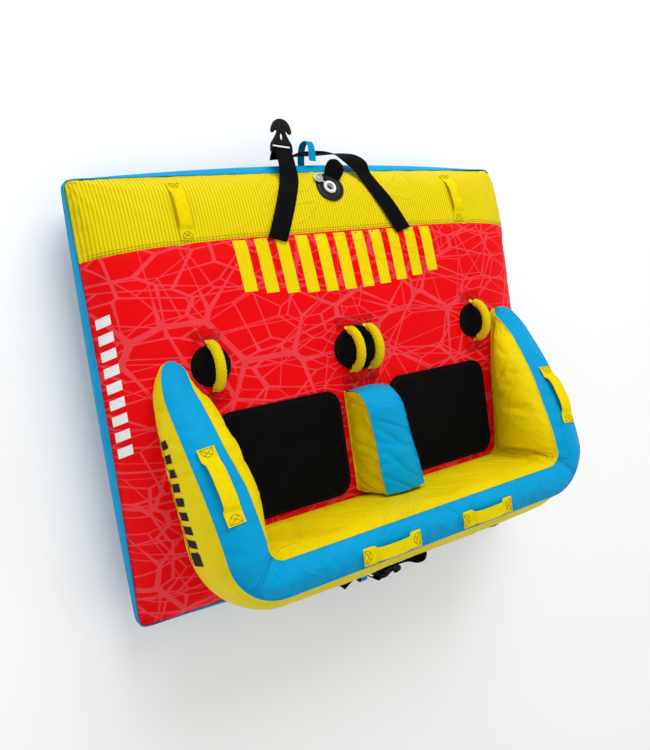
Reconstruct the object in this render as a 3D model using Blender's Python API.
"""Two-rider towable tube: inflated deck, bolster, divider, pads, grips, handles, valves and harnesses.

Units are metres. +Z is up, +Y points to the front tow hook, +X is the riders' right.
The origin is on the underside, below the middle of the deck.
"""

import math

import bmesh
import bpy
from mathutils import Matrix, Vector

# Deck
DECK_HALF_X = 0.80
DECK_HALF_Y = 0.64
DECK_T = 0.27
MID_Z = DECK_T / 2
BAND_HALF_MIDDLE = 0.042  # half the side band's height, halfway along a side
BAND_HALF_CORNER = 0.012
SIDE_BULGE = 0.009  # of the left and right sides
END_BULGE = 0.030  # of the front and rear
SHOULDER_X = 6  # higher is squarer
SHOULDER_Y = 4
FLAT_GAIN = 1.08  # how much of the swelling is cut off flat, top and bottom
CORNER_POWER = 70
FRONT_SEAM_Y = 0.409
SEAM_BOW = 0.026  # how far the front seam bows forward in its middle

# Cloth and clearances
CLOTH = 0.002
SEAM_GAP = 0.0014
LINER = 0.006  # bladder surface inside the cover's outer face
REST_GAP = 0.0008  # between a piece and the cloth it lies on

# Bolster
BOLSTER_H = 0.288
TIP_H = 0.018
ARM_TIP_Y = 0.112
ARM_REACH = 0.515  # length over which an arm's height falls to nothing
ARM_TOP_Y = -0.40
ARM_X = 0.640  # arm centre line at y = 0
ARM_TOE_IN = 0.085
TIP_CURL = 2.5  # how sharply the tips turn inwards
HAUNCH_Y = -0.13  # behind this the arms' caps widen inwards
REAR_Y = -0.474
CORNER_R = 0.10
CROWN = 0.022

# Divider
DIVIDER_W = 0.15
DIVIDER_FRONT_Y = -0.072
DIVIDER_REAR_Y = -0.392
DIVIDER_H = 0.135
DIVIDER_CROWN = 0.014
DIVIDER_LEAN_FRONT = -0.024
DIVIDER_LEAN_REAR = 0.018

# Pads
SEAT_PAD = (0.424, 0.337, 0.010)
SEAT_PAD_X = 0.311
SEAT_PAD_Y = -0.2285
SEAT_PAD_CORNER = 0.052
KNUCKLE_R = 0.060
KNUCKLE_CENTRE = (0.090, 0.071)
PAD_T = 0.008

# Grips
GRIP_X = (-0.508, -0.036, 0.036, 0.508)
GRIP_Y = (0.081, 0.0575, 0.0575, 0.081)
GRIP_HALF = 0.063
GRIP_RISE = 0.057
GRIP_R = 0.0150
GRIP_AXIS_Z = DECK_T + 0.0152
SLEEVE_END = 0.88  # how far along each half of the arch the foam reaches
CORE_W = 0.015
CORE_T = 0.0018
PATCH_W = 0.084
PATCH_CENTRE_W = 0.140
PATCH_DEPTH = 0.030
PATCH_OUT = 0.027  # from a grip's foot to the middle of its patch
PATCH_T = 0.0016

# Flat handles
HANDLE_W = 0.050
FRONT_HANDLE_W = 0.044
ARM_HANDLE_OUT = 0.005  # of the cap's centre line
HANDLE_RISE = 0.020
WEB_T = 0.0028

# Front valve
VALVE_Y = 0.577
COLLAR_R = 0.050
VALVE_R = 0.020
BOLSTER_VALVE = Vector((0.345, -0.6045, DECK_T + 0.15))

# Harnesses
TOW_W = 0.062
LOOP_W = 0.026
LOOP_T = 0.0022
REAR_TOW_W = 0.046
BAR_R = 0.0074  # room that a hook's webbing bar needs
FRONT_BAR = Vector((-0.125, 0.705, 0.180))
REAR_BAR = Vector((0.022, -0.744, 0.160))
HOOK_T = 0.011

# Zip
ZIP_START_X = -0.27


# ---------------------------------------------------------------- building blocks


def clear_scene():
    for obj in list(bpy.data.objects):
        bpy.data.objects.remove(obj, do_unlink=True)


def material(name, colour, roughness, metallic=0.0):
    found = bpy.data.materials.get(name)
    if found:
        return found
    made = bpy.data.materials.new(name)
    made.use_nodes = True
    shader = made.node_tree.nodes["Principled BSDF"]
    shader.inputs["Base Color"].default_value = (*colour, 1.0)
    shader.inputs["Roughness"].default_value = roughness
    shader.inputs["Metallic"].default_value = metallic
    return made


RED = ("red_nylon", (0.80, 0.01, 0.02), 0.55)
YELLOW = ("yellow_nylon", (0.86, 0.74, 0.02), 0.55)
BLUE = ("blue_nylon", (0.01, 0.42, 0.70), 0.50)
BLACK_WEB = ("black_webbing", (0.02, 0.02, 0.02), 0.75)
YELLOW_WEB = ("yellow_webbing", (0.88, 0.72, 0.02), 0.65)
BLUE_WEB = ("blue_webbing", (0.01, 0.38, 0.68), 0.65)
NEOPRENE = ("black_neoprene", (0.02, 0.02, 0.02), 0.85)
MOULDED = ("moulded_black", (0.03, 0.03, 0.03), 0.38)
VINYL = ("grey_vinyl", (0.30, 0.32, 0.34), 0.35)
WHITE = ("white_plastic", (0.85, 0.85, 0.83), 0.35)
CLEAR = ("clear_plastic", (0.80, 0.82, 0.82), 0.15)
FOAM = ("grey_foam", (0.35, 0.35, 0.36), 0.90)
RUBBER = ("black_rubber", (0.02, 0.02, 0.02), 0.60)
NICKEL = ("nickel", (0.60, 0.60, 0.60), 0.30, 0.9)


def finished(name, bm, look, smooth=True):
    """Turns a bmesh into a named object with its material."""
    mesh = bpy.data.meshes.new(name)
    bm.to_mesh(mesh)
    bm.free()
    if smooth:
        mesh.shade_smooth()
        mesh.set_sharp_from_angle(angle=math.radians(40))
    obj = bpy.data.objects.new(name, mesh)
    bpy.context.scene.collection.objects.link(obj)
    mesh.materials.append(material(*look))
    return obj


def moved_origin(obj, origin):
    """Puts the object's origin on its joint axis without moving its shape."""
    obj.data.transform(Matrix.Translation(-Vector(origin)))
    obj.location = origin
    return obj


def add_skin(bm, rows, wrap=False):
    """Quads between rows of points. Returns the rows of vertices."""
    made = [[bm.verts.new(point) for point in row] for row in rows]
    count = len(rows[0])
    for low, high in zip(made, made[1:]):
        for i in range(count if wrap else count - 1):
            j = (i + 1) % count
            bm.faces.new((low[i], low[j], high[j], high[i]))
    return made


def cloth(name, rows, look, wrap=False, thickness=CLOTH):
    """A sewn panel: a lattice of points on its outer face, thickened inwards."""
    bm = bmesh.new()
    add_skin(bm, rows, wrap)
    obj = finished(name, bm, look)
    solidify = obj.modifiers.new("Cloth", "SOLIDIFY")
    solidify.thickness = thickness
    solidify.offset = -1.0
    return obj


def loft(name, rings, look, smooth=True):
    """A closed body through rings of equal count, with flat ends."""
    bm = bmesh.new()
    made = add_skin(bm, rings, wrap=True)
    bm.faces.new(reversed(made[0]))
    bm.faces.new(made[-1])
    bmesh.ops.recalc_face_normals(bm, faces=bm.faces)
    return finished(name, bm, look, smooth)


def turned(name, profile, look, matrix, steps=24):
    """A body turned about local Z from a closed (radius, height) profile."""
    bm = bmesh.new()
    rings = []
    for i in range(steps):
        turn = Matrix.Rotation(2 * math.pi * i / steps, 4, "Z")
        rings.append([turn @ Vector((r, 0, z)) for r, z in profile])
    add_skin(bm, rings + [rings[0]], wrap=True)
    bmesh.ops.remove_doubles(bm, verts=bm.verts, dist=1e-6)
    bmesh.ops.recalc_face_normals(bm, faces=bm.faces)
    obj = finished(name, bm, look)
    obj.data.transform(matrix)
    return obj


def plate(name, outline, thickness, look, matrix, bevel=0.0, segments=2):
    """A flat outline extruded up local Z, with rounded edges."""
    bm = bmesh.new()
    face = bm.faces.new([bm.verts.new((x, y, 0)) for x, y in outline])
    grown = bmesh.ops.extrude_face_region(bm, geom=[face])
    top = [item for item in grown["geom"] if isinstance(item, bmesh.types.BMVert)]
    bmesh.ops.translate(bm, verts=top, vec=(0, 0, thickness))
    bmesh.ops.recalc_face_normals(bm, faces=bm.faces)
    if bevel:
        rims = [edge for edge in bm.edges if abs(edge.verts[0].co.z - edge.verts[1].co.z) < 1e-7]
        bmesh.ops.bevel(bm, geom=rims, offset=bevel, segments=segments, affect="EDGES", profile=0.5)
    obj = finished(name, bm, look)
    obj.data.transform(matrix)
    return obj


def rounded_rectangle(width, depth, radius, steps=5):
    points = []
    for k in range(4):
        start = k * math.pi / 2
        cx = (width / 2 - radius) * (1 if k in (0, 3) else -1)
        cy = (depth / 2 - radius) * (1 if k in (0, 1) else -1)
        for i in range(steps + 1):
            angle = start + math.pi / 2 * i / steps
            points.append((cx + radius * math.cos(angle), cy + radius * math.sin(angle)))
    return points


def ellipse(half_x, half_y, steps=24):
    turns = [2 * math.pi * i / steps for i in range(steps)]
    return [(half_x * math.cos(t), half_y * math.sin(t)) for t in turns]


def catmull(points, per_span):
    """A smooth run through every point, ends included."""
    first = points[0] * 2 - points[1]
    last = points[-1] * 2 - points[-2]
    padded = [first, *points, last]
    run = []
    for a, b, c, d in zip(padded, padded[1:], padded[2:], padded[3:]):
        for i in range(per_span):
            t = i / per_span
            run.append(
                b
                + (c - a) * (t / 2)
                + (2 * a - 5 * b + 4 * c - d) * (t**2 / 2)
                + (3 * b - a - 3 * c + d) * (t**3 / 2)
            )
    return run + [points[-1].copy()]


def ribbon(name, stations, width, thickness, look, per_span=3):
    """Flat webbing through (centre, across) stations."""
    centres = catmull([Vector(centre) for centre, _ in stations], per_span)
    acrosses = catmull([Vector(across).normalized() for _, across in stations], per_span)
    rings = []
    last = len(centres) - 1
    for i, (centre, across) in enumerate(zip(centres, acrosses)):
        along = (centres[min(i + 1, last)] - centres[max(i - 1, 0)]).normalized()
        side = (across - along * across.dot(along)).normalized() * (width / 2)
        up = side.normalized().cross(along) * (thickness / 2)
        rings.append([centre + side + up, centre - side + up, centre - side - up, centre + side - up])
    return loft(name, rings, look)


def cut(obj, cutter):
    cutter.hide_render = True
    cutter.display_type = "WIRE"
    boolean = obj.modifiers.new("Cut", "BOOLEAN")
    boolean.object = cutter
    boolean.operation = "DIFFERENCE"
    boolean.solver = "EXACT"


# ---------------------------------------------------------------- deck shape


def band_half(u, v):
    """Half the side band's height: tall halfway along a side, almost nothing at a corner."""
    return BAND_HALF_CORNER + (BAND_HALF_MIDDLE - BAND_HALF_CORNER) * side_middle(u, v)


def side_middle(u, v):
    return 1.0 - abs(u * v) ** 2


def swelling(u, v):
    rise_x = math.sqrt(max(0.0, 1.0 - abs(u) ** SHOULDER_X))
    rise_y = math.sqrt(max(0.0, 1.0 - abs(v) ** SHOULDER_Y))
    return min(1.0, FLAT_GAIN * rise_x * rise_y)


def outline_scale(u, v):
    """Pulls the rectangle's corners in to a rounded one."""
    reach = max(abs(u), abs(v))
    if reach < 0.5:
        return 1.0
    return reach / (abs(u) ** CORNER_POWER + abs(v) ** CORNER_POWER) ** (1 / CORNER_POWER)


def face_point(u, v, side, inset=0.0):
    """A point on the deck's top (side 1) or underside (side -1), u and v from -1 to 1."""
    k = outline_scale(u, v)
    edge = max(0.004, band_half(u, v) - inset)
    half = edge + (DECK_T / 2 - inset - edge) * swelling(u, v)
    return Vector(((DECK_HALF_X - inset) * u * k, (DECK_HALF_Y - inset) * v * k, MID_Z + side * half))


def band_point(u, v, rise, inset=0.0):
    """A point on the side band, rise from -1 at the lower seam to 1 at the upper."""
    k = outline_scale(u, v)
    power = CORNER_POWER - 1
    out = Vector((math.copysign(abs(u) ** power, u), math.copysign(abs(v) ** power, v), 0))
    out.normalize()
    half = max(0.004, band_half(u, v) - inset)
    reach = SIDE_BULGE * out.x**2 + END_BULGE * out.y**2
    bulge = reach * side_middle(u, v) * (1.0 - rise**2)
    foot = Vector(((DECK_HALF_X - inset) * u * k, (DECK_HALF_Y - inset) * v * k, MID_Z + rise * half))
    return foot + out * bulge


def deck_z(x, y):
    """Height of the deck's top face."""
    return face_point(x / DECK_HALF_X, y / DECK_HALF_Y, 1).z


def deck_frame(x, y):
    """A matrix that stands on the deck's top face, with its Z along the face's normal."""
    step = 0.01
    here = Vector((x, y, deck_z(x, y)))
    along_x = Vector((2 * step, 0, deck_z(x + step, y) - deck_z(x - step, y)))
    along_y = Vector((0, 2 * step, deck_z(x, y + step) - deck_z(x, y - step)))
    normal = along_x.cross(along_y).normalized()
    right = along_x.normalized()
    forward = normal.cross(right)
    turn = Matrix((right, forward, normal)).transposed().to_4x4()
    return Matrix.Translation(here) @ turn


def lines_across():
    """Columns of the deck's lattice, closer together at the shoulders."""
    half = [1.0 - (1.0 - i / 8) ** 1.55 for i in range(9)]
    return [-u for u in reversed(half[1:])] + half


def lines_behind_seam():
    seam = FRONT_SEAM_Y / DECK_HALF_Y
    return [-1.0 + (1.0 + seam) * (i / 10) ** 1.5 for i in range(11)]


def lines_before_seam():
    seam = FRONT_SEAM_Y / DECK_HALF_Y
    return [1.0 - (1.0 - seam) * (1.0 - i / 4) ** 1.4 for i in range(5)]


def perimeter():
    """The lattice's outer nodes, once round, anticlockwise from the rear left."""
    across = lines_across()
    along = lines_behind_seam() + lines_before_seam()[1:]
    rear = [(u, -1.0) for u in across]
    right = [(1.0, v) for v in along[1:]]
    front = [(u, 1.0) for u in reversed(across[:-1])]
    left = [(-1.0, v) for v in reversed(along[1:-1])]
    return rear + right + front + left


def bowed(u, v):
    """Where a lattice node lies once the front seam's bow is drawn in."""
    seam = FRONT_SEAM_Y / DECK_HALF_Y
    near_seam = max(0.0, 1.0 - abs(v - seam) / (1.0 - seam))
    return v + SEAM_BOW / DECK_HALF_Y * (1.0 - u**4) * near_seam


def deck_panels():
    across = lines_across()
    # The seam's two edges stand a little apart, as sewn edges do before they are pressed.
    seam_step = SEAM_GAP / 2 / DECK_HALF_Y
    behind = lines_behind_seam()
    behind[-1] -= seam_step
    before = lines_before_seam()
    before[0] += seam_step
    cloth("deck_top_panel", [[face_point(u, bowed(u, v), 1) for u in across] for v in behind], RED)
    rows = [[face_point(u, bowed(u, v), 1) for u in across] for v in before]
    front = cloth("deck_front_panel", rows, YELLOW)
    whole = lines_behind_seam() + lines_before_seam()[1:]
    cloth("deck_bottom_panel", [[face_point(u, v, -1) for u in reversed(across)] for v in whole], BLUE)
    rises = (0.0, 0.6, 1.0)
    steps = [-r for r in reversed(rises[1:])] + list(rises)
    rows = []
    for rise in steps:
        row = []
        for u, v in perimeter():
            trimmed = rise * (1.0 - 1.3 * SEAM_GAP / band_half(u, v)) if abs(rise) == 1.0 else rise * 0.96
            row.append(band_point(u, v, trimmed))
        rows.append(row)
    cloth("deck_side_band", rows, BLUE, wrap=True)
    return front


def deck_bladder():
    """The air bladder: the deck's own shape, a little smaller."""
    across = lines_across()
    along = lines_behind_seam() + lines_before_seam()[1:]
    bm = bmesh.new()
    top = add_skin(bm, [[face_point(u, v, 1, LINER) for u in across] for v in along])
    low = add_skin(bm, [[face_point(u, v, -1, LINER) for u in reversed(across)] for v in along])
    for row in low:
        row.reverse()
    last = len(along) - 1

    def rim(grid):
        rear = grid[0]
        right = [row[-1] for row in grid[1:]]
        front = list(reversed(grid[last][:-1]))
        left = [row[0] for row in reversed(grid[1:-1])]
        return rear + right + front + left

    rows = [rim(low)]
    for rise in (-0.55, 0.0, 0.55):
        rows.append([bm.verts.new(band_point(u, v, rise, LINER)) for u, v in perimeter()])
    rows.append(rim(top))
    for lower, upper in zip(rows, rows[1:]):
        for i in range(len(lower)):
            j = (i + 1) % len(lower)
            bm.faces.new((lower[i], lower[j], upper[j], upper[i]))
    bmesh.ops.recalc_face_normals(bm, faces=bm.faces)
    return finished("deck_bladder", bm, VINYL)


# ---------------------------------------------------------------- bolster


def arm_fall(y):
    """How far along its fall an arm is at y, from 0 at full height to 1 at the tip."""
    return min(1.0, max(0.0, (y - ARM_TOP_Y) / ARM_REACH))


def bolster_height(y):
    return mix(BOLSTER_H, TIP_H, arm_fall(y) ** 1.5)


def arm_centre(y):
    return ARM_X + ARM_TOE_IN * y - TIP_CURL * max(y, 0.0) ** 2


def half_path():
    """Plan of the right half's centre line: (point, outward normal, share of the rear's section)."""
    stations = []
    arm_end = REAR_Y + CORNER_R
    count = 11
    for i in range(count):
        y = ARM_TIP_Y + (arm_end - ARM_TIP_Y) * (i / count) ** 1.35
        slope = (arm_centre(y + 0.005) - arm_centre(y - 0.005)) / 0.01
        stations.append((Vector((arm_centre(y), y, 0)), Vector((1, -slope, 0)).normalized(), 0.0))
    centre = Vector((arm_centre(arm_end) - CORNER_R, arm_end, 0))
    for i in range(6):
        angle = math.pi / 2 * i / 5
        out = Vector((math.cos(angle), -math.sin(angle), 0))
        stations.append((centre + out * CORNER_R, out, i / 5))
    for i in range(1, 6):
        stations.append((Vector((centre.x * (1 - i / 5), REAR_Y, 0)), Vector((0, -1, 0)), 1.0))
    return stations


def full_path():
    """The whole centre line, from the left arm's tip round the rear to the right arm's."""
    right = half_path()
    left = [(Vector((-p.x, p.y, 0)), Vector((-n.x, n.y, 0)), k) for p, n, k in right]
    return left + list(reversed(right[:-1]))


def mix(a, b, k):
    return a + (b - a) * k


def bolster_section(centre, out, rear, inset):
    """Section points from the inner foot over the cap to the outer foot, then back underneath."""
    fall = arm_fall(centre.y)
    height = bolster_height(centre.y)
    narrow = 0.42 + 0.58 * math.sqrt(1.0 - fall**4)
    wide = rear**2
    swell = narrow**3
    haunch = min(1.0, max(0.0, (HAUNCH_Y - centre.y) / 0.10))
    # The inner bulge eases off before the rear corner, whose radius it would otherwise reach.
    before_corner = min(1.0, max(0.0, (centre.y - REAR_Y - CORNER_R) / 0.10))
    bulge = (0.100 + 0.030 * before_corner) * swell
    cap_in = mix(0.052 * narrow + 0.011 * haunch, 0.050, rear)
    cap_out = mix(0.052 * narrow, 0.050, rear)
    foot_in = mix(0.058 * narrow, 0.056, rear)
    foot_out = mix(0.052 * narrow**2, 0.142, wide)
    belly_in = mix(max(0.098 * swell, 0.058 * narrow), 0.060, rear)
    chest_in = mix(max(bulge, 0.056 * narrow), 0.058, rear)
    belly_out = mix(0.072 * narrow**2, 0.145, wide)
    chest_out = mix(0.068 * narrow**2, 0.107, wide)
    crown = CROWN * (0.35 + 0.65 * height / BOLSTER_H)
    profile = [
        (-foot_in, 0.0),
        (-belly_in, 0.30),
        (-chest_in, 0.68),
        (-cap_in, 1.0),
        (-cap_in * 0.5, 1.0),
        (0.0, 1.0),
        (cap_out * 0.5, 1.0),
        (cap_out, 1.0),
        (chest_out, 0.70),
        (belly_out, 0.34),
        (foot_out, 0.0),
        (foot_out * 0.5, 0.0),
        (0.0, 0.0),
        (-foot_in * 0.5, 0.0),
    ]
    lifts = [0, 0, 0, 0, 0.75, 1, 0.75, 0, 0, 0, 0, 0, 0, 0]
    points = []
    for i, ((side, level), lift) in enumerate(zip(profile, lifts)):
        shrink = max(0.0, 1.0 - inset / max(abs(side), 0.02))
        place = centre + out * side * shrink
        base = deck_z(place.x, place.y) + 0.0035 + inset * 0.5
        top = DECK_T + height + crown * lift - inset
        if level == 0.0:
            z = base
        elif level == 1.0:
            z = max(base + 0.004, top)
        else:
            z = max(base + 0.002, mix(base, top, level))
        points.append(Vector((place.x, place.y, z)))
    return points


def stepped_back(seam, below):
    """A wall's upper edge, moved down the wall until it clears the cap's thickness."""
    way = below - seam
    return seam + way * max(0.06, 0.0042 / way.length)


def bolster():
    path = full_path()
    rings = [bolster_section(p, n, k, LINER * 2.5) for p, n, k in path]
    bladder = loft("bolster_bladder", rings, VINYL)
    outer = [bolster_section(p, n, k, 0.0) for p, n, k in path]
    # Each panel stops just short of the seam that it shares.
    inner_rows = []
    cap_rows = []
    outer_rows = []
    for ring in outer:
        wall_in = ring[0:4]
        wall_in[-1] = stepped_back(ring[3], ring[2])
        top = ring[3:8]
        wall_out = ring[7:11]
        wall_out[0] = stepped_back(ring[7], ring[8])
        inner_rows.append(wall_in)
        cap_rows.append(top)
        outer_rows.append(wall_out)
    cloth("bolster_inner_panel", inner_rows, YELLOW)
    cloth("bolster_cap_panel", cap_rows, BLUE)
    bolster_valve(cloth("bolster_outer_panel", outer_rows, YELLOW), bladder)


# ---------------------------------------------------------------- divider


def divider_rings(inset):
    """Sections from front to rear: left foot, up, over the crown, down to the right foot."""
    rings = []
    count = 8
    for i in range(count + 1):
        t = i / count
        y = mix(DIVIDER_FRONT_Y - inset, DIVIDER_REAR_Y + inset, t)
        lean = mix(DIVIDER_LEAN_FRONT, DIVIDER_LEAN_REAR, t)
        near_front = max(0.0, 1.0 - t * 5)
        height = DIVIDER_H * (1.0 - 0.30 * near_front**2) - inset
        half = DIVIDER_W / 2 - inset
        base = DECK_T + 0.0035 + inset * 0.3
        profile = [(-1, 0), (-1.06, 0.35), (-1.05, 0.70), (-1, 1), (-0.55, 1.0), (0, 1.0)]
        profile += [(-side, level) for side, level in reversed(profile[:-1])]
        ring = []
        for k, (side, level) in enumerate(profile):
            lift = DIVIDER_CROWN * (1 - side * side) if level == 1 else 0
            ring.append(Vector((side * half + lean * level, y, base + height * level + lift)))
        rings.append(ring)
    return rings


def divider():
    loft("divider_core", divider_rings(LINER), FOAM)
    rings = divider_rings(0.0)
    left = [[p for p in reversed(ring[0:4])] for ring in rings]
    right = [ring[7:11] for ring in rings]
    for rows, side in ((left, 0), (right, 0)):
        for row in rows:
            row[side] = row[side].lerp(row[side + 1], 0.05)
    cloth("divider_left_panel", [list(reversed(row)) for row in left], YELLOW)
    cloth("divider_right_panel", right, YELLOW)
    # The cap runs over the top and down the front.
    rows = [ring[3:8] for ring in rings]
    face = rows[0]
    drop = []
    for level in (0.0, 0.35, 0.70):
        drop.append([Vector((p.x, p.y + 0.004 * (1 - level), mix(DECK_T + 0.004, p.z, level))) for p in face])
    nose = [[Vector((p.x, p.y, p.z)) for p in row] for row in drop]
    cloth("divider_cap_panel", nose + rows, BLUE)


# ---------------------------------------------------------------- pads, patches and grips


def pads():
    for name, sign in (("left", -1), ("right", 1)):
        place = Matrix.Translation((sign * SEAT_PAD_X, SEAT_PAD_Y, DECK_T + REST_GAP))
        outline = rounded_rectangle(SEAT_PAD[0], SEAT_PAD[1], SEAT_PAD_CORNER)
        plate(f"seat_pad_{name}", outline, SEAT_PAD[2], NEOPRENE, place, bevel=0.003)
        knuckle_pad(name, ellipse(KNUCKLE_R, KNUCKLE_R), sign * GRIP_X[-1], GRIP_Y[-1])
    knuckle_pad("centre", ellipse(*KNUCKLE_CENTRE), 0, GRIP_Y[1])


def knuckle_pad(name, outline, x, y):
    place = Matrix.Translation((x, y, DECK_T + REST_GAP))
    plate(f"knuckle_pad_{name}", outline, PAD_T, NEOPRENE, place, bevel=0.002, segments=1)


def patches():
    """Reinforcing patches over the ends of the grips' webbing."""
    groups = (
        ("left", GRIP_X[0], GRIP_Y[0], PATCH_W),
        ("centre", 0.0, GRIP_Y[1], PATCH_CENTRE_W),
        ("right", GRIP_X[3], GRIP_Y[3], PATCH_W),
    )
    height = DECK_T + REST_GAP * 2 + CORE_T
    for name, x, y, width in groups:
        outline = rounded_rectangle(width, PATCH_DEPTH, 0.004, 2)
        for end, sign in (("front", 1), ("rear", -1)):
            place = Matrix.Translation((x, y + sign * (GRIP_HALF + PATCH_OUT), height))
            plate(f"patch_{name}_{end}", outline, PATCH_T, RED, place)


def arch(t):
    """Point on the grip's arch at t from -1 to 1, as (y, z) from the joint axis, and its direction."""
    angle = math.pi / 2 * t
    place = Vector((0, GRIP_HALF * math.sin(angle), GRIP_RISE * math.cos(angle)))
    along = Vector((0, GRIP_HALF * math.cos(angle), -GRIP_RISE * math.sin(angle))).normalized()
    return place, along


def grips():
    """Foam sleeves on webbing cores. The core turns with its sleeve; its sewn tails stay on the deck."""
    stops = [-1 + 2 * i / 10 for i in range(11)]
    foam_stops = [t * SLEEVE_END for t in stops]
    # Around a sleeve's section: eight points on the round outside, eight on the flat bore.
    bore_x = CORE_W / 2 + 0.0008
    bore_z = CORE_T / 2 + 0.0008
    bore = [(1, 0), (1, 1), (0, 1), (-1, 1), (-1, 0), (-1, -1), (0, -1), (1, -1)]
    for number, (x, y) in enumerate(zip(GRIP_X, GRIP_Y), start=1):
        origin = Vector((x, y, GRIP_AXIS_Z))
        bm = bmesh.new()
        outside = []
        inside = []
        for t in foam_stops:
            place, along = arch(t)
            up = Vector((1, 0, 0)).cross(along)
            turns = [math.pi / 4 * k for k in range(8)]
            across = Vector((1, 0, 0))
            outside.append([place + (across * math.cos(a) + up * math.sin(a)) * GRIP_R for a in turns])
            inside.append([place + across * bore_x * bx + up * bore_z * bz for bx, bz in bore])
        out = add_skin(bm, outside, wrap=True)
        inn = add_skin(bm, inside, wrap=True)
        for a, b in ((out[0], inn[0]), (out[-1], inn[-1])):
            for i in range(8):
                j = (i + 1) % 8
                bm.faces.new((a[i], a[j], b[j], b[i]))
        bmesh.ops.recalc_face_normals(bm, faces=bm.faces)
        sleeve = finished(f"grip_sleeve_{number}", bm, YELLOW_WEB)
        sleeve.location = origin
        rings = []
        for t in stops:
            place, along = arch(t)
            up = Vector((1, 0, 0)).cross(along) * CORE_T / 2
            side = Vector((CORE_W / 2, 0, 0))
            rings.append([place + side + up, place - side + up, place - side - up, place + side - up])
        core = loft(f"grip_core_{number}", rings, YELLOW_WEB)
        core.location = origin
        grip_tails(number, x, y)


def grip_tails(number, x, y):
    """The two sewn ends of one grip's webbing, flat on the deck."""
    low = DECK_T + REST_GAP + CORE_T / 2
    # From the axis end down to the cloth and out under the patch.
    run = ((0.0026, GRIP_AXIS_Z - 0.0045), (0.006, mix(low, GRIP_AXIS_Z, 0.25)), (0.011, low), (0.035, low))
    for end, sign in (("front", 1), ("rear", -1)):
        stations = [(Vector((x, y + sign * (GRIP_HALF + out), z)), Vector((1, 0, 0))) for out, z in run]
        ribbon(f"grip_tail_{number}_{end}", stations, CORE_W, CORE_T, YELLOW_WEB, per_span=1)


# ---------------------------------------------------------------- flat grab handles


def flat_handle(name, surface, width=HANDLE_W, rise=HANDLE_RISE):
    """Webbing sewn flat at both ends and bowed up between them. surface(t) gives its foot and normal."""
    levels = ((0.0, 0.0), (0.10, 0.0), (0.17, 0.1), (0.24, 0.7), (0.36, 1.0), (0.5, 1.0))
    levels += tuple((1 - t, lift) for t, lift in reversed(levels[:-1]))
    stations = []
    for t, lift in levels:
        foot, normal, across = surface(t)
        stations.append((foot + normal * (WEB_T / 2 + REST_GAP + rise * lift), across))
    return ribbon(name, stations, width, WEB_T, YELLOW_WEB, per_span=1)


def cap_top(y):
    """Highest point of the cap over the centre line at y."""
    height = bolster_height(y)
    return DECK_T + height + CROWN * (0.35 + 0.65 * height / BOLSTER_H)


def handles():
    for name, sign in (("left", -1), ("right", 1)):

        def on_arm(t, sign=sign):
            y = mix(-0.112, -0.300, t)
            foot = Vector((sign * (arm_centre(y) + ARM_HANDLE_OUT), y, cap_top(y)))
            behind = y - 0.01
            ahead = Vector((sign * (arm_centre(behind) + ARM_HANDLE_OUT), behind, cap_top(behind)))
            along = (ahead - foot).normalized()
            across = Vector((1, 0, 0))
            normal = across.cross(along)
            normal = normal if normal.z > 0 else -normal
            return foot, normal, across

        flat_handle(f"handle_arm_{name}", on_arm)

        def on_rear(t, sign=sign):
            x = sign * mix(0.083, 0.283, t)
            foot = Vector((x, REAR_Y - 0.012, DECK_T + BOLSTER_H + CROWN))
            return foot, Vector((0, 0, 1)), Vector((0, 1, 0))

        flat_handle(f"handle_rear_{name}", on_rear)

        def on_front(t, sign=sign):
            y = mix(0.440, 0.612, t)
            frame = deck_frame(sign * 0.512, y)
            return frame.translation, frame.col[2].to_3d(), Vector((1, 0, 0))

        flat_handle(f"handle_front_{name}", on_front, width=FRONT_HANDLE_W, rise=0.014)


# ---------------------------------------------------------------- valves


def valve_stub(prefix, matrix, depth=0.030):
    """Flanged valve body with a bore, from a turned profile."""
    profile = [
        (VALVE_R * 0.62, 0.006),
        (VALVE_R, 0.006),
        (VALVE_R * 1.12, 0.003),
        (VALVE_R * 1.12, 0.0008),
        (VALVE_R * 0.80, 0.0008),
        (VALVE_R * 0.80, -depth),
        (VALVE_R * 0.62, -depth),
    ]
    return turned(f"{prefix}_body", profile, WHITE, matrix)


def valve_plug(name, matrix, hinge, reach, swing):
    """Plug, its strap and root ring bar in one moulding. Local X runs from the hinge to the plug."""
    centre = Vector((reach, 0, 0))
    disc_r = 0.0155
    steps = 20
    profile = ((0.0, 0.0), (disc_r, 0.0), (disc_r, 0.0035), (0.0115, 0.0045), (0.0105, 0.0110), (0.0, 0.0110))
    bm = bmesh.new()
    rings = []
    turns = [2 * math.pi * i / steps for i in range(steps)]
    for r, z in profile[1:-1]:
        rings.append([centre + Vector((r * math.cos(a), r * math.sin(a), z)) for a in turns])
    made = add_skin(bm, rings, wrap=True)
    bm.faces.new(reversed(made[0]))
    bm.faces.new(made[-1])
    bmesh.ops.recalc_face_normals(bm, faces=bm.faces)
    plug = finished(name, bm, CLEAR)
    strap = bmesh.new()
    bmesh.ops.create_cube(strap, size=1.0)
    length = reach - disc_r * 0.6
    bmesh.ops.scale(strap, vec=(length, 0.006, 0.0016), verts=strap.verts)
    bmesh.ops.translate(strap, vec=(length / 2, 0, 0.0010), verts=strap.verts)
    strap_obj = finished(name + "_strap_guide", strap, CLEAR)
    strap_obj.hide_render = True
    strap_obj.display_type = "WIRE"
    place = Matrix.Translation(hinge) @ matrix.to_3x3().to_4x4() @ swing
    for obj in (plug, strap_obj):
        obj.matrix_world = place
    union = plug.modifiers.new("Strap", "BOOLEAN")
    union.object = strap_obj
    union.operation = "UNION"
    return plug


def round_cutter(name, radius, depth, matrix):
    """Cutting cylinder from that depth to well above the surface."""
    above = 0.03
    return turned(name, [(0, above), (0, depth), (radius, depth), (radius, above)], RUBBER, matrix)


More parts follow.
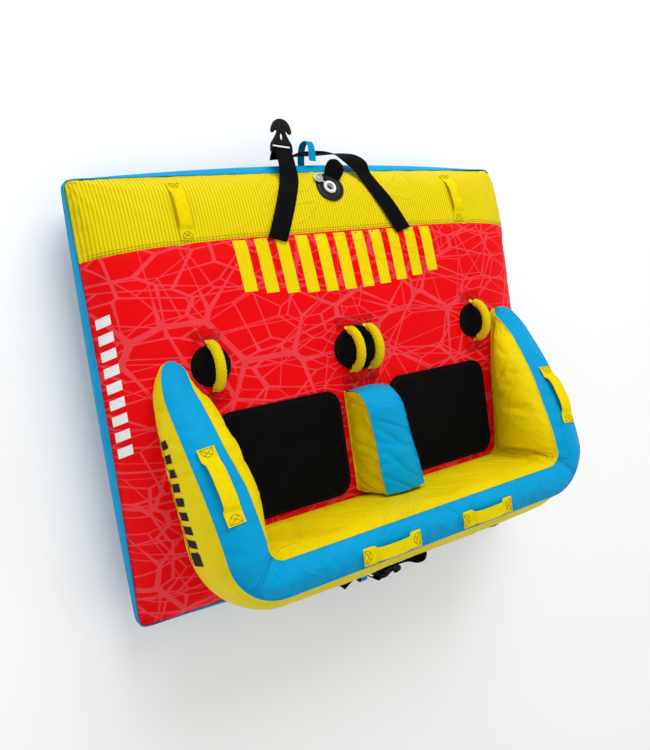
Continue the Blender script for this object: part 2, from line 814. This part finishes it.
def front_valve(front_panel, bladder):
    frame = deck_frame(0.0, VALVE_Y)
    cut(bladder, round_cutter("valve_pocket_guide", 0.026, -0.045, frame))
    cut(front_panel, round_cutter("valve_hole_guide", 0.024, -0.020, frame))
    ring = [
        (COLLAR_R, 0.0008),
        (COLLAR_R, 0.0030),
        (COLLAR_R - 0.002, 0.0040),
        (0.0245, 0.0040),
        (0.0245, 0.0008),
    ]
    turned("valve_collar", ring, NEOPRENE, frame, steps=32)
    valve_stub("valve", frame @ Matrix.Translation((0, 0, 0.0008)))
    flapper = [(0.0006, -0.0100), (0.0115, -0.0100), (0.0115, -0.0085), (0.0006, -0.0085)]
    turned("valve_flapper", flapper, RUBBER, frame, steps=16)
    # The plug's hinge is on the body's rim, towards the front left.
    aim = math.radians(139)
    rim = frame @ Vector((0.0235 * math.cos(aim), 0.0235 * math.sin(aim), 0.0072))
    valve_plug("valve_plug", frame, rim, 0.0235, Matrix.Rotation(aim, 4, "Z"))
    valve_flap(frame)


def bolster_valve(outer_panel, bladder):
    """The bolster's own valve with its plug pushed in, on the outside of the rear wall."""
    slope = Vector((0, -0.946, 0.325)).normalized()
    right = Vector((-1, 0, 0))
    turn = Matrix((right, slope.cross(right), slope)).transposed().to_4x4()
    frame = Matrix.Translation(BOLSTER_VALVE) @ turn
    cut(bladder, round_cutter("bolster_pocket_guide", 0.022, -0.040, frame))
    cut(outer_panel, round_cutter("bolster_hole_guide", 0.020, -0.020, frame))
    profile = [
        (0, 0.0075),
        (0.012, 0.0075),
        (0.0145, 0.0055),
        (0.0220, 0.0050),
        (0.0235, 0.0035),
        (0.0235, 0.0020),
        (0.0165, 0.0020),
        (0.0165, -0.025),
        (0, -0.025),
    ]
    return turned("bolster_valve", profile, RUBBER, frame)


def valve_flap(frame):
    """Neoprene flap sewn along the collar's front right edge and folded open past it."""
    aim = math.radians(62)
    turn = Matrix.Rotation(aim, 4, "Z")
    rows = []
    length = 0.052
    for i in range(7):
        t = i / 6
        half = 0.030 * math.sqrt(max(0.12, 1.0 - (t * 1.02 - 0.35) ** 2 * 2.0))
        lift = 0.0065 + 0.020 * math.sin(t * math.pi * 0.62)
        across = (-1, -0.5, 0, 0.5, 1)
        reach = 0.040 + length * t
        rows.append([Vector((reach, half * s, lift + 0.004 * (1 - s * s))) for s in across])
    bm = bmesh.new()
    add_skin(bm, rows)
    obj = finished("valve_flap", bm, NEOPRENE)
    thick = obj.modifiers.new("Thickness", "SOLIDIFY")
    thick.thickness = 0.0024
    thick.offset = 0.0
    obj.data.transform(frame @ turn)
    return moved_origin(obj, frame @ turn @ Vector((0.040, 0, 0.0065)))


# ---------------------------------------------------------------- harnesses


def hook(name, bar, turn):
    """Flat arrowhead hook. Local X is across, Y from the webbing bar to the tip, Z through its thickness."""
    half = [
        (0.0, -0.0050),
        (0.0340, -0.0050),
        (0.0375, 0.0060),
        (0.0365, 0.0200),
        (0.0290, 0.0320),
        (0.0145, 0.0580),
        (0.0140, 0.0640),
        (0.0190, 0.0670),
        (0.0265, 0.0590),
        (0.0325, 0.0570),
        (0.0350, 0.0625),
        (0.0325, 0.0735),
        (0.0245, 0.0890),
        (0.0130, 0.0975),
        (0.0, 0.1000),
    ]
    outline = half + [(-x, y) for x, y in reversed(half[1:-1])]
    slot = [(-0.0335, 0.0050), (-0.0335, 0.0200), (0.0335, 0.0200), (0.0335, 0.0050)]
    turns = [math.pi * 2 * i / 12 for i in range(12)]
    eye = [(0.0065 * math.sin(a), 0.0455 + 0.0125 * math.cos(a)) for a in turns]
    curve = bpy.data.curves.new(name, "CURVE")
    curve.dimensions = "2D"
    curve.fill_mode = "BOTH"
    curve.extrude = HOOK_T / 2 - 0.0016
    curve.bevel_depth = 0.0016
    curve.bevel_resolution = 0
    for loop in (outline, slot, eye):
        spline = curve.splines.new("POLY")
        spline.points.add(len(loop) - 1)
        for point, (x, y) in zip(spline.points, loop):
            point.co = (x, y, 0, 1)
        spline.use_cyclic_u = True
    obj = bpy.data.objects.new(name, curve)
    bpy.context.scene.collection.objects.link(obj)
    curve.materials.append(material(*MOULDED))
    obj.matrix_world = Matrix.Translation(bar) @ turn
    return obj


def around_bar(bar, radius, across, start, sweep, count=4):
    """Stations round a hook's bar. start and sweep are angles in degrees about the across axis."""
    axis = Vector(across).normalized()
    stations = []
    for i in range(count + 1):
        angle = math.radians(start + sweep * i / count)
        arm = Matrix.Rotation(angle, 3, axis) @ Vector((0, 0, radius))
        stations.append((bar + arm, axis.copy()))
    return stations


def on_deck(points, above):
    """Stations lying on the deck's top face, their width along the face."""
    stations = []
    last = len(points) - 1
    for i, (x, y) in enumerate(points):
        frame = deck_frame(x, y)
        normal = frame.col[2].to_3d()
        before = points[max(0, i - 1)]
        after = points[min(last, i + 1)]
        along = Vector((after[0] - before[0], after[1] - before[1], 0)).normalized()
        stations.append((frame.translation + normal * above, along.cross(normal)))
    return stations


def front_harness():
    above = REST_GAP + WEB_T / 2 + 0.0042
    stops = (0.0, 0.25, 0.5, 0.75, 1.0)
    left = on_deck([(mix(-0.235, -0.139, t), mix(0.419, 0.606, t)) for t in stops], above)
    left.append((Vector((-0.130, 0.655, 0.2120)), Vector((0.98, -0.18, 0))))
    turn = Matrix.Rotation(math.radians(-7), 4, "Z")
    radius = BAR_R + 0.0012 + WEB_T / 2
    wrap = around_bar(FRONT_BAR, radius, turn.col[0].to_3d(), 0, -180)
    # The free side turns on edge along the band, through the guide loop, and climbs back to the deck.
    right = [
        (Vector((-0.121, 0.693, 0.1530)), Vector((0.98, 0.0, 0.10))),
        (Vector((-0.093, 0.696, 0.1350)), Vector((0.66, 0.0, 0.72))),
        (Vector((-0.052, 0.704, 0.1370)), Vector((0.08, 0.0, 1.0))),
        (Vector((-0.012, 0.708, 0.1370)), Vector((0.0, 0.0, 1.0))),
        (Vector((0.026, 0.708, 0.1380)), Vector((0.0, 0.0, 1.0))),
        (Vector((0.066, 0.706, 0.1460)), Vector((-0.40, -0.1, 0.9))),
        (Vector((0.099, 0.697, 0.1670)), Vector((-0.75, -0.25, 0.6))),
        (Vector((0.122, 0.676, 0.1960)), Vector((-0.90, -0.40, 0.15))),
        (Vector((0.139, 0.646, 0.2210)), Vector((-0.89, -0.45, 0))),
    ]
    right += on_deck([(mix(0.155, 0.246, t), mix(0.604, 0.420, t)) for t in stops[::2]], above)
    ribbon("tow_strap_front", left + wrap + right, TOW_W, WEB_T, BLACK_WEB, per_span=2)
    hook("tow_hook_front", FRONT_BAR, turn)
    foot = Vector((-0.012, 0.6755, 0.1375))
    webbing_arch("guide_loop_front", foot, Vector((0, 0, 0.0375)), Vector((0.008, 0.070, 0)))


def webbing_arch(name, foot, half_span, rise):
    """A guide loop that stands on the side band, its width across the strap that it guides."""
    across = half_span.cross(rise)
    stations = []
    for i in range(9):
        angle = math.pi * i / 8
        side = math.copysign(abs(math.cos(angle)) ** 0.7, -math.cos(angle))
        stations.append((foot + half_span * side + rise * max(0.0, math.sin(angle)) ** 0.8, across))
    return ribbon(name, stations, LOOP_W, LOOP_T, BLUE_WEB, per_span=1)


def rear_harness():
    """The strap stands on edge along the deck's rear and threads the hook's slot from outside to inside."""
    across = Vector((0, -0.30, 0.95))
    bar = REAR_BAR
    pass_y = BAR_R + 0.0012 + WEB_T / 2
    plan = [
        (-0.126, -0.738),
        (-0.102, -0.724),
        (-0.075, -0.715),
        (-0.045, -0.715),
        (-0.020, -0.730),
        (bar.x - 0.010, bar.y - pass_y),
        (bar.x + 0.005, bar.y - pass_y + 0.0005),
        (bar.x + 0.0125, bar.y),
        (bar.x + 0.020, bar.y + pass_y - 0.0005),
        (bar.x + 0.036, bar.y + pass_y + 0.002),
        (0.100, -0.722),
        (0.150, -0.726),
        (0.195, -0.744),
        (0.226, -0.742),
        (0.236, -0.716),
        (0.222, -0.690),
    ]
    stations = []
    for i, (x, y) in enumerate(plan):
        upright = 4 <= i <= 9
        stations.append((Vector((x, y, bar.z)), Vector((0, 0, 1)) if upright else across))
    ribbon("tow_strap_rear", stations, REAR_TOW_W, WEB_T, BLACK_WEB, per_span=2)
    # The hook stands on edge and points to the right.
    stand = Matrix(((0, 1, 0), (0, 0, 1), (1, 0, 0))).to_4x4()
    hook("tow_hook_rear", bar, stand)
    foot = Vector((-0.043, -0.6745, 0.142))
    webbing_arch("guide_loop_rear", foot, Vector((0, 0, 0.036)), Vector((0, -0.068, 0.020)))


def zip_fastener():
    """Zip on the rear of the side band, over the length where the band runs straight."""
    half = 0.30
    low = 0.103
    high = 0.121
    rows = []
    for z in (low, high):
        rise = (z - MID_Z) / BAND_HALF_MIDDLE
        row = []
        for i in range(13):
            x = mix(-half, half, i / 12)
            point = band_point(x / DECK_HALF_X, -1.0, rise)
            row.append(Vector((x, point.y - 0.0034, z)))
        rows.append(row)
    bm = bmesh.new()
    add_skin(bm, rows)
    tape = finished("zip_tape", bm, BLACK_WEB)
    thick = tape.modifiers.new("Thickness", "SOLIDIFY")
    thick.thickness = 0.0016
    thick.offset = 0.0
    body = [(-0.006, 0.0), (0.006, 0.0), (0.0075, 0.009), (0.0045, 0.016), (-0.0045, 0.016), (-0.0075, 0.009)]
    # The slider runs straight, so it clears the tape where the band stands out most, at its middle.
    lower, upper = [row[len(row) // 2] for row in rows]
    up = (upper - lower).normalized()
    out = Vector((1, 0, 0)).cross(up)
    middle = (lower + upper) / 2 - up * 0.008 + out * 0.0016
    stand = Matrix((Vector((1, 0, 0)), up, out)).transposed().to_4x4()
    place = Matrix.Translation((ZIP_START_X, middle.y, middle.z)) @ stand
    return plate("zip_slider", body, 0.0055, NICKEL, place, bevel=0.001, segments=1)


def main():
    clear_scene()
    front_panel = deck_panels()
    bladder = deck_bladder()
    bolster()
    divider()
    pads()
    patches()
    grips()
    handles()
    front_valve(front_panel, bladder)
    front_harness()
    rear_harness()
    zip_fastener()


main()
